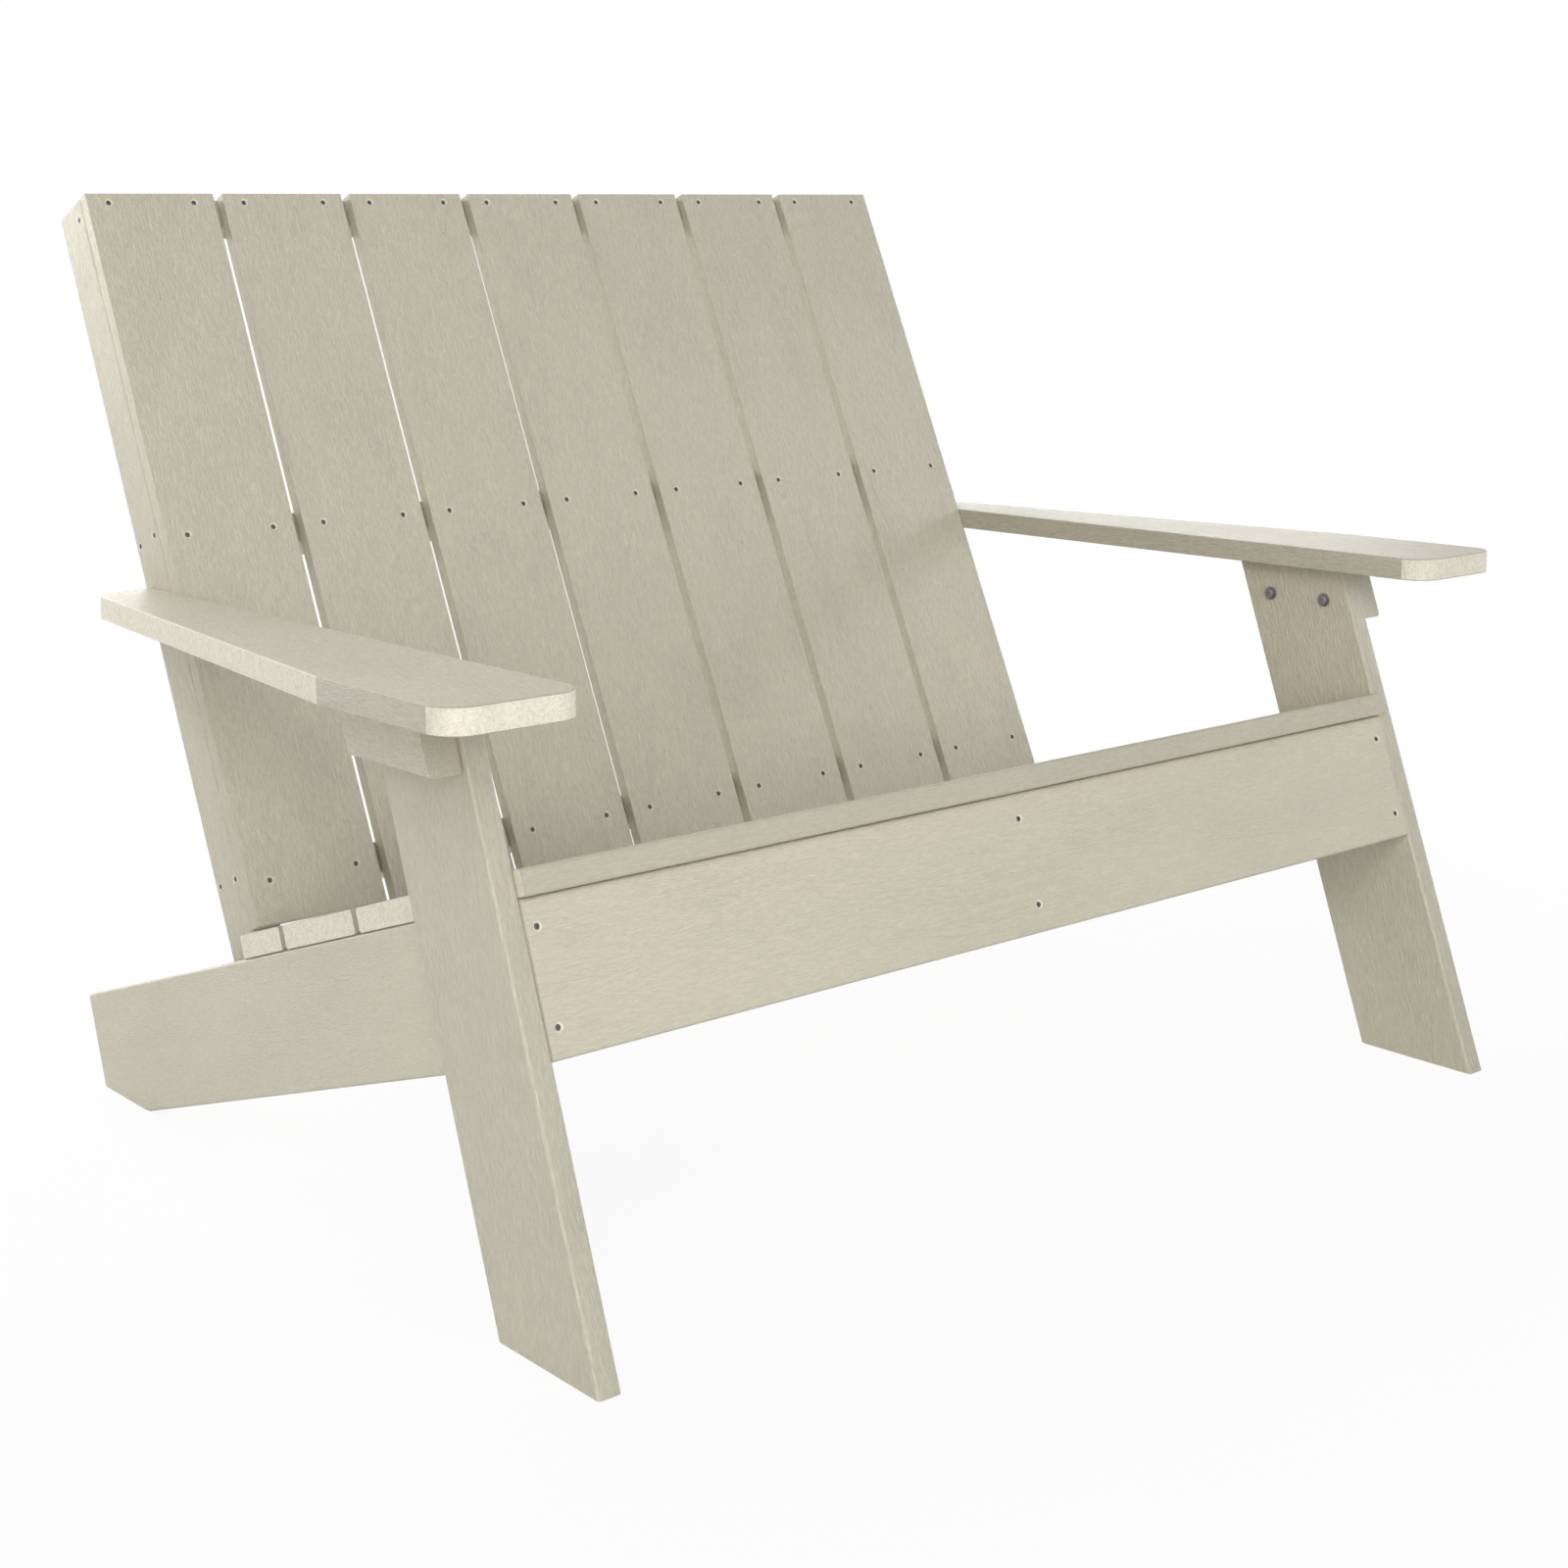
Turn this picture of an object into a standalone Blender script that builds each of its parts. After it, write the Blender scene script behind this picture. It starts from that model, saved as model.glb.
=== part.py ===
"""Modern slatted patio loveseat in plastic lumber, at its real size in metres.

The front faces -Y, +X is to the right of someone who faces the front, +Z is up.
The origin lies on the floor at the centre of the loveseat's box.
Three raked frames carry every board but the arms: the leg frame, the seat frame that
is set on it, and the back frame that is set on the seat. In each one local Y points to
the rear and local Z up, square to it, so a board is an eased plank along an axis,
sawn where it meets a level plane or another frame.
"""
import bpy
import bmesh
from math import cos, pi, radians, sin, tan
from mathutils import Matrix, Vector

for old in list(bpy.data.objects):
    bpy.data.objects.remove(old, do_unlink=True)

# Lumber stock
board_width = 0.1271
board_thickness = 0.0222
heavy_thickness = 0.0312
edge_radius = 0.0032
crisp_radius = 0.0010
heavy_radius = 0.0045
edge_segments = 2
round_share = 0.5
fit_gap = 0.0003
merge_share = 0.01

# Leg frame: its origin is the lowest front corner of the front legs
leg_angle = radians(19.04)
leg_foot_y = -0.4759

# Seat frame: its origin is the top front edge of the front seat slat
seat_angle = radians(18.45)
seat_front_z = 0.3813
seat_overhang = 0.0103
seat_depth = 0.4918
wide_seat_slats = 3
rear_slat_width = 0.0781
seat_gap = 0.0075
seat_rear_gap = 0.0042
heel_run = 0.0931

# Back frame: its origin is where the slats' front plane meets the seat's top plane
back_angle = radians(23.9)
back_height = 0.7485
slat_count = 7
slat_width = 0.1397
slat_gap = 0.0100
slat_thickness = 0.0140
slat_lift = 0.0040
rail_depth = 0.0522
rail_burial = 0.0990
bottom_rail_rise = 0.0339

# Arms and the brackets under them
arm_bottom_z = 0.5058
arm_overhang = 0.1186
arm_straight_length = 0.1845
arm_rear_lap = 0.0531
arm_rear_width = 0.0591
arm_front_radius = 0.0270
arm_rear_radius = 0.0200
arm_corner_steps = 5
bracket_width = 0.1140
bracket_height = 0.0540

# Bolts and washers
bolt_radius = 0.0030
bolt_head_radius = 0.0056
bolt_head_height = 0.0032
bolt_bite = 0.0160
bolt_clearance = 0.0004
bolt_sides = 8
washer_radius = 0.0075
washer_thickness = 0.0015
bracket_bolt_inset = 0.0240
bracket_bolt_rise = 0.0195
cutter_overrun = 0.0020

# Places along the pieces that carry them
leg_bolt_shares = (0.24, 0.72)
back_bolt_shares = (0.28, 0.74)

row_half = (slat_count * slat_width + (slat_count - 1) * slat_gap) / 2
stringer_inner_x = row_half + fit_gap
stringer_outer_x = stringer_inner_x + board_thickness
leg_inner_x = stringer_outer_x + fit_gap
leg_outer_x = leg_inner_x + board_thickness
leg_top_z = arm_bottom_z - fit_gap


def raked_frame(y, z, angle):
    """World matrix of a frame that leans back by the angle, on the middle plane."""
    return Matrix.Translation((0.0, y, z)) @ Matrix.Rotation(-angle, 4, 'X')


def on_frame(matrix, y, z):
    """World point of a place on a frame's middle plane."""
    return matrix @ Vector((0.0, y, z))


def leg_front_y(z):
    """Y of the legs' front plane at a height."""
    return leg_foot_y + z * tan(leg_angle)


leg_frame = raked_frame(leg_foot_y, 0.0, leg_angle)
seat_front_y = leg_front_y(seat_front_z) - seat_overhang
seat_frame = raked_frame(seat_front_y, seat_front_z, seat_angle)
back_foot = on_frame(seat_frame, seat_depth, 0.0)
back_frame = raked_frame(back_foot.y, back_foot.z, back_angle)
frames = {'level': Matrix.Identity(4), 'leg': leg_frame, 'seat': seat_frame, 'back': back_frame}
empties = {}
for label, matrix in frames.items():
    empty = bpy.data.objects.new(f'{label}_frame', None)
    empty.matrix_world = matrix
    bpy.context.collection.objects.link(empty)
    empties[label] = empty


def principled(name, colour, roughness, metallic):
    """Material with one Principled BSDF."""
    material = bpy.data.materials.new(name)
    material.use_nodes = True
    shader = material.node_tree.nodes['Principled BSDF']
    shader.inputs['Base Color'].default_value = (*colour, 1.0)
    shader.inputs['Roughness'].default_value = roughness
    shader.inputs['Metallic'].default_value = metallic
    return material


def lumber(name):
    return principled(name + '_lumber', (0.54, 0.50, 0.39), 0.55, 0.0)


def steel(name):
    return principled(name + '_steel', (0.32, 0.32, 0.32), 0.4, 1.0)


def mesh_of(name, bm):
    """Mesh of a bmesh, smooth over the easings and sharp at the sawn edges."""
    bmesh.ops.recalc_face_normals(bm, faces=bm.faces[:])
    mesh = bpy.data.meshes.new(name)
    bm.to_mesh(mesh)
    bm.free()
    mesh.shade_smooth()
    mesh.set_sharp_from_angle(angle=radians(30))
    return mesh


def place(name, mesh, frame, location, material):
    """Object of a mesh at its place in a frame. Alike bolts share a mesh and its material."""
    thing = bpy.data.objects.new(name, mesh)
    if not mesh.materials:
        mesh.materials.append(material)
    thing.parent = empties[frame]
    thing.location = location
    bpy.context.collection.objects.link(thing)
    return thing


def saw(bm, to_world, point, normal):
    """Cut off what lies beyond a world plane and close the cut."""
    to_local = to_world.inverted()
    plane_point = to_local @ Vector(point)
    plane_normal = to_world.to_3x3().transposed() @ Vector(normal)
    cut = bmesh.ops.bisect_plane(
        bm, geom=bm.verts[:] + bm.edges[:] + bm.faces[:], dist=fit_gap * merge_share,
        plane_co=plane_point, plane_no=plane_normal, clear_outer=True)
    rim = [part for part in cut['geom_cut'] if isinstance(part, bmesh.types.BMEdge)]
    bmesh.ops.edgenet_fill(bm, edges=rim)


def board(name, frame, low, high, grain, cuts=(), radius=edge_radius):
    """Eased plank between two corners of a frame, long along the grain axis."""
    low = Vector(low)
    high = Vector(high)
    size = high - low
    centre = (low + high) / 2
    bm = bmesh.new()
    bmesh.ops.create_cube(bm, size=1.0)
    bmesh.ops.scale(bm, vec=size, verts=bm.verts[:])
    long_edges = []
    for edge in bm.edges:
        along = edge.verts[1].co - edge.verts[0].co
        if abs(along[grain]) > size[grain] / 2:
            long_edges.append(edge)
    bmesh.ops.bevel(
        bm, geom=long_edges, offset=radius, offset_type='OFFSET',
        segments=edge_segments, profile=round_share, affect='EDGES')
    to_world = frames[frame] @ Matrix.Translation(centre)
    for point, normal in cuts:
        saw(bm, to_world, point, normal)
    return place(name, mesh_of(name, bm), frame, centre, lumber(name))


def ring(bm, x, radius, centre=(0.0, 0.0)):
    """Loop of vertices about an axis along X."""
    loop = []
    for step in range(bolt_sides):
        turn = 2 * pi * (step + 0.5) / bolt_sides
        y = centre[0] + radius * cos(turn)
        z = centre[1] + radius * sin(turn)
        loop.append(bm.verts.new((x, y, z)))
    return loop


def wall(bm, near, far):
    """Band of faces between two loops."""
    for step in range(bolt_sides):
        after = (step + 1) % bolt_sides
        bm.faces.new((near[step], near[after], far[after], far[step]))


def turned(bm, profile, centre=(0.0, 0.0)):
    """Closed solid turned about X from pairs of X and radius."""
    loops = [ring(bm, x, radius, centre) for x, radius in profile]
    for near, far in zip(loops, loops[1:]):
        wall(bm, near, far)
    bm.faces.new(loops[0])
    bm.faces.new(loops[-1])


def bolt_mesh(name, length):
    """Flat-headed bolt that points to +X, with its head's bearing face at the origin."""
    bm = bmesh.new()
    turned(bm, (
        (-bolt_head_height, bolt_head_radius),
        (0.0, bolt_head_radius),
        (0.0, bolt_radius),
        (length, bolt_radius),
    ))
    return mesh_of(name, bm)


def washer_mesh(name):
    """Flat ring from the origin to its thickness along +X."""
    bm = bmesh.new()
    profile = (
        (0.0, washer_radius),
        (washer_thickness, washer_radius),
        (washer_thickness, bolt_radius + bolt_clearance),
        (0.0, bolt_radius + bolt_clearance),
    )
    loops = [ring(bm, x, radius) for x, radius in profile]
    for near, far in zip(loops, loops[1:] + loops[:1]):
        wall(bm, near, far)
    return mesh_of(name, bm)


def drill(target, name, holes):
    """Cut round holes along X, each a centre with its start and end X."""
    bm = bmesh.new()
    for centre, start, end in holes:
        radius = bolt_radius + bolt_clearance
        turned(bm, ((start, radius), (end, radius)), centre.yz)
    cutter = bpy.data.objects.new(name, mesh_of(name, bm))
    cutter.hide_render = True
    cutter.display_type = 'WIRE'
    bpy.context.collection.objects.link(cutter)
    modifier = target.modifiers.new('bolt_holes', 'BOOLEAN')
    modifier.operation = 'DIFFERENCE'
    modifier.solver = 'EXACT'
    modifier.object = cutter


# Back frame
rail_front = slat_thickness + fit_gap
rail_inner_x = row_half - heavy_thickness
for index in range(slat_count):
    start_x = -row_half + index * (slat_width + slat_gap)
    board(f'back_slat_{index + 1}', 'back',
          (start_x, 0.0, slat_lift),
          (start_x + slat_width, slat_thickness, back_height), 2, (), crisp_radius)

# The side rails run on below the seat slats, between the stringers.
seat_drop = board_thickness + fit_gap
rail_foot = -seat_drop - rail_burial
side_rails = {}
for label, side in (('left', -1), ('right', 1)):
    edges_x = sorted((side * rail_inner_x, side * row_half))
    side_rails[side] = board(
        f'back_side_rail_{label}', 'back',
        (edges_x[0], rail_front, rail_foot),
        (edges_x[1], rail_front + rail_depth, back_height), 2)

# The top cross rail is square in section, and the middle one lies halfway down.
cross_half = rail_inner_x - fit_gap
top_rail_z = back_height - heavy_thickness
cross_rails = (
    ('top', top_rail_z, heavy_thickness),
    ('middle', (top_rail_z + bottom_rail_rise) / 2, rail_depth),
    ('bottom', bottom_rail_rise, rail_depth),
)
for label, low_z, depth in cross_rails:
    board(f'back_rail_{label}', 'back',
          (-cross_half, rail_front, low_z),
          (cross_half, rail_front + depth, low_z + heavy_thickness), 0)

# Seat frame: the rearmost slat is sawn lengthwise, which takes off its rear easings.
seat_rear = seat_depth - seat_rear_gap
rear_slat_front = seat_rear - rear_slat_width
wide_slat_width = rear_slat_front / wide_seat_slats - seat_gap
seat_rearward = seat_frame.to_3x3() @ Vector((0.0, 1.0, 0.0))
seat_rear_cut = (on_frame(seat_frame, seat_rear, 0.0), seat_rearward)
seat_slats = []
for index in range(wide_seat_slats):
    front = index * (wide_slat_width + seat_gap)
    seat_slats.append((front, front + wide_slat_width, ()))
seat_slats.append((rear_slat_front, seat_rear + edge_radius, (seat_rear_cut,)))
for index, (front, rear, cuts) in enumerate(seat_slats):
    board(f'seat_slat_{index + 1}', 'seat',
          (-stringer_outer_x, front, -board_thickness),
          (stringer_outer_x, rear, 0.0), 0, cuts)

# The apron hangs from the front seat slat's underside, flush with the legs' front.
seat_up = seat_frame.to_3x3() @ Vector((0.0, 0.0, 1.0))
leg_up = leg_frame.to_3x3() @ Vector((0.0, 0.0, 1.0))
leg_rearward = leg_frame.to_3x3() @ Vector((0.0, 1.0, 0.0))
leg_to_seat = seat_frame.translation - leg_frame.translation
apron_top = (leg_to_seat.dot(seat_up) - seat_drop) / leg_up.dot(seat_up)
board('front_apron', 'leg',
      (-stringer_outer_x, 0.0, apron_top - board_width),
      (stringer_outer_x, board_thickness, apron_top), 0)

# The stringers butt against the apron, run back and down, and stand on their heels.
stringer_top = -seat_drop
stringer_bottom = stringer_top - board_width
heel_start = (seat_front_z + stringer_bottom * cos(seat_angle)) / sin(seat_angle)
stringer_front = on_frame(leg_frame, board_thickness + fit_gap, 0.0)
floor_cut = ((0.0, 0.0, 0.0), (0.0, 0.0, -1.0))
stringer_cuts = ((stringer_front, -leg_rearward), floor_cut)
stringers = {}
stringer_places = (
    ('left', -1, -stringer_outer_x),
    ('centre', 0, -board_thickness / 2),
    ('right', 1, stringer_inner_x),
)
for label, side, start_x in stringer_places:
    stringers[side] = board(
        f'stringer_{label}', 'seat',
        (start_x, -board_width, stringer_bottom),
        (start_x + board_thickness, heel_start + heel_run, stringer_top), 1, stringer_cuts)

# Legs and brackets
leg_reach = arm_bottom_z / cos(leg_angle) + board_width
arm_cut = ((0.0, 0.0, leg_top_z), (0.0, 0.0, 1.0))
bracket_bottom_z = leg_top_z - bracket_height
bracket_setback = (board_width - bracket_width) / 2
bracket_front = on_frame(leg_frame, bracket_setback, 0.0)
bracket_rear = on_frame(leg_frame, bracket_setback + bracket_width, 0.0)
bracket_cuts = ((bracket_front, -leg_rearward), (bracket_rear, leg_rearward))
bracket_low_y = leg_front_y(bracket_bottom_z)
bracket_high_y = leg_front_y(leg_top_z) + board_width / cos(leg_angle)
legs = {}
brackets = {}
for label, side in (('left', -1), ('right', 1)):
    edges_x = sorted((side * leg_inner_x, side * leg_outer_x))
    legs[side] = board(
        f'leg_{label}', 'leg',
        (edges_x[0], 0.0, -board_width),
        (edges_x[1], board_width, leg_reach), 2, (floor_cut, arm_cut))
    bracket_inner_x = leg_outer_x + fit_gap
    edges_x = sorted((side * bracket_inner_x, side * (bracket_inner_x + heavy_thickness)))
    brackets[side] = board(
        f'arm_bracket_{label}', 'level',
        (edges_x[0], bracket_low_y, bracket_bottom_z),
        (edges_x[1], bracket_high_y, leg_top_z), 1, bracket_cuts, heavy_radius)


def corner_arc(corner, before, after, radius):
    """Points of a round corner between two straight stretches of an outline."""
    to_before = (before - corner).normalized()
    to_after = (after - corner).normalized()
    half = to_before.angle(to_after) / 2
    middle = corner + (to_before + to_after).normalized() * (radius / sin(half))
    start = corner + to_before * (radius / tan(half)) - middle
    end = corner + to_after * (radius / tan(half)) - middle
    points = []
    for step in range(arm_corner_steps + 1):
        points.append(middle + radius * start.slerp(end, step / arm_corner_steps))
    return points


# The arms run from ahead of the legs to beside the side rails.
rail_front_foot = on_frame(back_frame, rail_front, 0.0)
rail_front_y = rail_front_foot.y + (arm_bottom_z - rail_front_foot.z) * tan(back_angle)
arm_front_y = leg_front_y(arm_bottom_z) - arm_overhang
arm_length = rail_front_y + arm_rear_lap - arm_front_y


def arm(name, side):
    """Level board with a straight front stretch, a tapered rear and round corners."""
    inner = stringer_inner_x
    outer = inner + board_width
    rear_outer = inner + arm_rear_width
    front_inner = Vector((inner, 0.0))
    front_outer = Vector((outer, 0.0))
    kink = Vector((outer, arm_straight_length))
    rear_corner = Vector((rear_outer, arm_length))
    rear_inner = Vector((inner, arm_length))
    outline = corner_arc(front_inner, rear_inner, front_outer, arm_front_radius)
    outline += corner_arc(front_outer, front_inner, kink, arm_front_radius)
    outline.append(kink)
    outline += corner_arc(rear_corner, kink, rear_inner, arm_rear_radius)
    outline.append(rear_inner)
    bm = bmesh.new()
    lower = [bm.verts.new((side * point.x, point.y, 0.0)) for point in outline]
    base = bm.faces.new(lower)
    raised = bmesh.ops.extrude_face_region(bm, geom=[base])
    top = [part for part in raised['geom'] if isinstance(part, bmesh.types.BMVert)]
    bmesh.ops.translate(bm, vec=(0.0, 0.0, board_thickness), verts=top)
    rims = [edge for edge in bm.edges
            if abs(edge.verts[0].co.z - edge.verts[1].co.z) < board_thickness / 2]
    bmesh.ops.bevel(
        bm, geom=rims, offset=crisp_radius, offset_type='OFFSET',
        segments=edge_segments, profile=round_share, affect='EDGES')
    place(name, mesh_of(name, bm), 'level', (0.0, arm_front_y, arm_bottom_z), lumber(name))


arm('arm_left', -1)
arm('arm_right', 1)

# Bolts that hold the brackets through the legs, washers and all
bracket_bolt_z = bracket_bottom_z + bracket_bolt_rise
bracket_bolt_centres = []
for reach in (bracket_bolt_inset, bracket_width - bracket_bolt_inset):
    bolt_y = leg_front_y(bracket_bolt_z) + (bracket_setback + reach) / cos(leg_angle)
    bracket_bolt_centres.append(Vector((0.0, bolt_y, bracket_bolt_z)))

# Bolts that hold the legs through the stringers, behind the apron
leg_bolt_y = (board_thickness + board_width) / 2
leg_bolt_centres = []
for share in leg_bolt_shares:
    height = apron_top - share * board_width
    leg_bolt_centres.append(on_frame(leg_frame, leg_bolt_y, height))

# Bolts that hold the back's side rails through to the stringers
back_bolt_y = rail_front + rail_depth / 2
back_bolt_centres = []
for share in back_bolt_shares:
    back_bolt_z = -seat_drop - share * rail_burial
    back_bolt_centres.append(on_frame(back_frame, back_bolt_y, back_bolt_z))

# Every bolt's head lies on the inner side, where its washer or its board carries it.
washer_x = leg_inner_x - fit_gap - washer_thickness
bracket_head_x = washer_x - fit_gap
bracket_tip_x = leg_outer_x + bolt_bite
leg_head_x = stringer_inner_x - fit_gap
leg_tip_x = leg_inner_x + bolt_bite
back_head_x = rail_inner_x - fit_gap
back_tip_x = stringer_inner_x + bolt_bite
shared_meshes = {
    'bracket_bolt': bolt_mesh('bracket_bolt', bracket_tip_x - bracket_head_x),
    'bracket_washer': washer_mesh('bracket_washer'),
    'leg_bolt': bolt_mesh('leg_bolt', leg_tip_x - leg_head_x),
    'back_bolt': bolt_mesh('back_bolt', back_tip_x - back_head_x),
}
steels = {kind: steel(kind) for kind in shared_meshes}


def fasten(kind, label, side, x, centre):
    """Bolt or washer that points outwards on its side, at a place in the level frame."""
    location = (side * x, centre.y, centre.z)
    thing = place(f'{kind}_{label}', shared_meshes[kind], 'level', location, steels[kind])
    if side < 0:
        thing.rotation_euler.z = pi


def bore(centre, side, start, end):
    """One hole's centre with its start and end X on a side."""
    return centre, side * (start - cutter_overrun), side * end


for label, side in (('left', -1), ('right', 1)):
    for end, centre in zip(('front', 'rear'), bracket_bolt_centres):
        fasten('bracket_bolt', f'{label}_{end}', side, bracket_head_x, centre)
        fasten('bracket_washer', f'{label}_{end}', side, washer_x, centre)
    for end, centre in zip(('upper', 'lower'), leg_bolt_centres):
        fasten('leg_bolt', f'{label}_{end}', side, leg_head_x, centre)
    for end, centre in zip(('upper', 'lower'), back_bolt_centres):
        fasten('back_bolt', f'{label}_{end}', side, back_head_x, centre)
    leg_through = leg_outer_x + cutter_overrun
    leg_blind = leg_tip_x + bolt_clearance
    bracket_blind = bracket_tip_x + bolt_clearance
    stringer_through = stringer_outer_x + cutter_overrun
    stringer_blind = back_tip_x + bolt_clearance
    rail_through = row_half + cutter_overrun
    drill(legs[side], f'leg_{label}_cutter',
          [bore(centre, side, leg_inner_x, leg_through) for centre in bracket_bolt_centres]
          + [bore(centre, side, leg_inner_x, leg_blind) for centre in leg_bolt_centres])
    drill(brackets[side], f'arm_bracket_{label}_cutter',
          [bore(centre, side, leg_outer_x, bracket_blind) for centre in bracket_bolt_centres])
    drill(stringers[side], f'stringer_{label}_cutter',
          [bore(centre, side, stringer_inner_x, stringer_through) for centre in leg_bolt_centres]
          + [bore(centre, side, stringer_inner_x, stringer_blind) for centre in back_bolt_centres])
    drill(side_rails[side], f'back_side_rail_{label}_cutter',
          [bore(centre, side, rail_inner_x, rail_through) for centre in back_bolt_centres])
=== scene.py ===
# %% [markdown]
# # A slatted patio loveseat
#
# This lesson dresses a loveseat made of plastic lumber: foamed polyethylene boards with an
# embossed grain, sawn to length, screwed and bolted together. The plain model is loaded first
# as a frame. Each board is then made again with rounder edges, softened saw cuts and real
# countersinks, and gets a material that knows a moulded face from a sawn one.

# %% Load the plain model
from math import cos, pi, radians, sin, tan

import bmesh
import bpy
from mathutils import Matrix, Vector


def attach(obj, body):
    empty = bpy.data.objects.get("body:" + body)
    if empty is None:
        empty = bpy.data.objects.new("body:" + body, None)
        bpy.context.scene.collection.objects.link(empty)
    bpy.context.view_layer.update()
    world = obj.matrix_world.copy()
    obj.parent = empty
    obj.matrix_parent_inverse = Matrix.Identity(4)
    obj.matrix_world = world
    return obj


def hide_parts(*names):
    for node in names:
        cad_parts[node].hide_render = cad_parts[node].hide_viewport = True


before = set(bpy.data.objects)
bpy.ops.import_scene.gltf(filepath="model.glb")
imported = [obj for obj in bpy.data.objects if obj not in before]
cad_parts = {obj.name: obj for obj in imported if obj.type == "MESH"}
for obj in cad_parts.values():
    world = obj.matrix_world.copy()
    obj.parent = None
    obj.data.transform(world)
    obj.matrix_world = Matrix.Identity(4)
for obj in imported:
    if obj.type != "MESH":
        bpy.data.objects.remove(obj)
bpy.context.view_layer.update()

# %% [markdown]
# ## The camera
#
# The picture was taken from the front left, a little above the arms. A long edge of the
# front leg isn't quite upright in it, so the camera was also held a trifle askew. Two small
# shifts frame the loveseat as the picture does without turning the camera.

# %% Set the camera
picture_width = 1600
focal_pixels = 2507.9
axis_x, axis_y = 727.2, 582.1
yaw, pitch, roll = 0.67664, 0.13528, -0.01212
camera_place = (-1.5765, -1.8841, 0.8610)

camera_data = bpy.data.cameras.new("camera")
camera_data.sensor_width = 36
camera_data.lens = focal_pixels / picture_width * camera_data.sensor_width
camera_data.shift_x = (picture_width / 2 - axis_x) / picture_width
camera_data.shift_y = (axis_y - picture_width / 2) / picture_width
camera = bpy.data.objects.new("camera", camera_data)
bpy.context.scene.collection.objects.link(camera)
turn = Matrix.Rotation(-yaw, 4, "Z") @ Matrix.Rotation(pi / 2 - pitch, 4, "X")
turn = turn @ Matrix.Rotation(roll, 4, "Z")
camera.matrix_world = Matrix.Translation(camera_place) @ turn
bpy.context.scene.camera = camera
print(f"lens {camera_data.lens:.1f} mm, shift {camera_data.shift_x:.3f}, {camera_data.shift_y:.3f}")

# %% [markdown]
# ## Sizes and frames
#
# The same sizes as in the plain model, in metres. Three raked frames carry the boards: the
# front legs lean back, the seat falls to the rear, and the back leans back from the seat.
# In each frame Y points to the rear and Z up, square to it.

# %% Name the sizes
fit_gap = 0.0003
board_width = 0.1271
board_thickness = 0.0222
heavy_thickness = 0.0312
edge_radius = 0.0032
crisp_radius = 0.0010
heavy_radius = 0.0045

leg_angle = radians(19.04)
leg_foot_y = -0.4759

seat_angle = radians(18.45)
seat_front_z = 0.3813
seat_overhang = 0.0103
seat_depth = 0.4918
rear_slat_width = 0.0781
seat_gap = 0.0075
seat_rear_gap = 0.0042
heel_run = 0.0931

back_angle = radians(23.9)
back_height = 0.7485
slat_count = 7
slat_width = 0.1397
slat_gap = 0.0100
slat_thickness = 0.0140
slat_lift = 0.0040
rail_depth = 0.0522
rail_burial = 0.0990
bottom_rail_rise = 0.0339

arm_bottom_z = 0.5058
arm_overhang = 0.1186
arm_straight_length = 0.1845
arm_rear_lap = 0.0531
arm_rear_width = 0.0591
arm_front_radius = 0.0270
arm_rear_radius = 0.0200
bracket_width = 0.1140
bracket_height = 0.0540

row_half = (slat_count * slat_width + (slat_count - 1) * slat_gap) / 2
stringer_inner_x = row_half + fit_gap
stringer_outer_x = stringer_inner_x + board_thickness
leg_inner_x = stringer_outer_x + fit_gap
leg_outer_x = leg_inner_x + board_thickness
rail_inner_x = row_half - heavy_thickness
rail_front = slat_thickness + fit_gap
seat_drop = board_thickness + fit_gap
print(f"half the row of slats: {row_half:.4f} m")

# %% Set up the three raked frames
def raked(y, z, angle):
    """Matrix of a frame that leans back by the angle."""
    return Matrix.Translation((0, y, z)) @ Matrix.Rotation(-angle, 4, "X")


def leg_front_y(z):
    """Y of the legs' front plane at a height."""
    return leg_foot_y + z * tan(leg_angle)


def along(matrix, axis):
    """World direction of a frame's axis."""
    return matrix.to_3x3().col[axis].copy()


level = Matrix.Identity(4)
leg_frame = raked(leg_foot_y, 0, leg_angle)
seat_frame = raked(leg_front_y(seat_front_z) - seat_overhang, seat_front_z, seat_angle)
back_foot = seat_frame @ Vector((0, seat_depth, 0))
back_frame = raked(back_foot.y, back_foot.z, back_angle)
print("back frame starts at", tuple(round(v, 4) for v in back_foot))

# %% [markdown]
# ## A board
#
# A moulded board is a long bar with rounded long edges. It leaves the saw with crisp ends,
# which a pass of sandpaper softens. So a board starts as a box, its long edges are bevelled,
# planes saw it to shape, and a far smaller bevel runs round the saw cuts. That order matters:
# bevelled first and sawn after, the rounding runs out cleanly at a slanted cut.
#
# Faces and edges are picked by a test in code. A place is the same as another within a hair,
# and a direction is tested by its cosine: dead_on is straight along an axis, square_on nearly
# so, and nearer_half takes in the half of a rounding that leans that way.

# %% Select and edit a piece
hair = 0.0001
dead_on = 0.98
square_on = 0.9
nearer_half = cos(radians(45))


def only(piece):
    """Makes a piece the only selected one."""
    bpy.ops.object.select_all(action="DESELECT")
    piece.select_set(True)
    bpy.context.view_layer.objects.active = piece


def pick_edges(piece, test):
    """Selects the edges that pass a test, in edit mode."""
    bpy.ops.mesh.select_mode(type="EDGE")
    bpy.ops.mesh.select_all(action="DESELECT")
    net = bmesh.from_edit_mesh(piece.data)
    for edge in net.edges:
        edge.select_set(test(edge))
    bmesh.update_edit_mesh(piece.data)


def runs(edge):
    """Direction of an edge."""
    return (edge.verts[1].co - edge.verts[0].co).normalized()


def above(height):
    """Test for edges that lie at a height or over it."""
    return lambda edge: all(vert.co.z > height - hair for vert in edge.verts)


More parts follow.
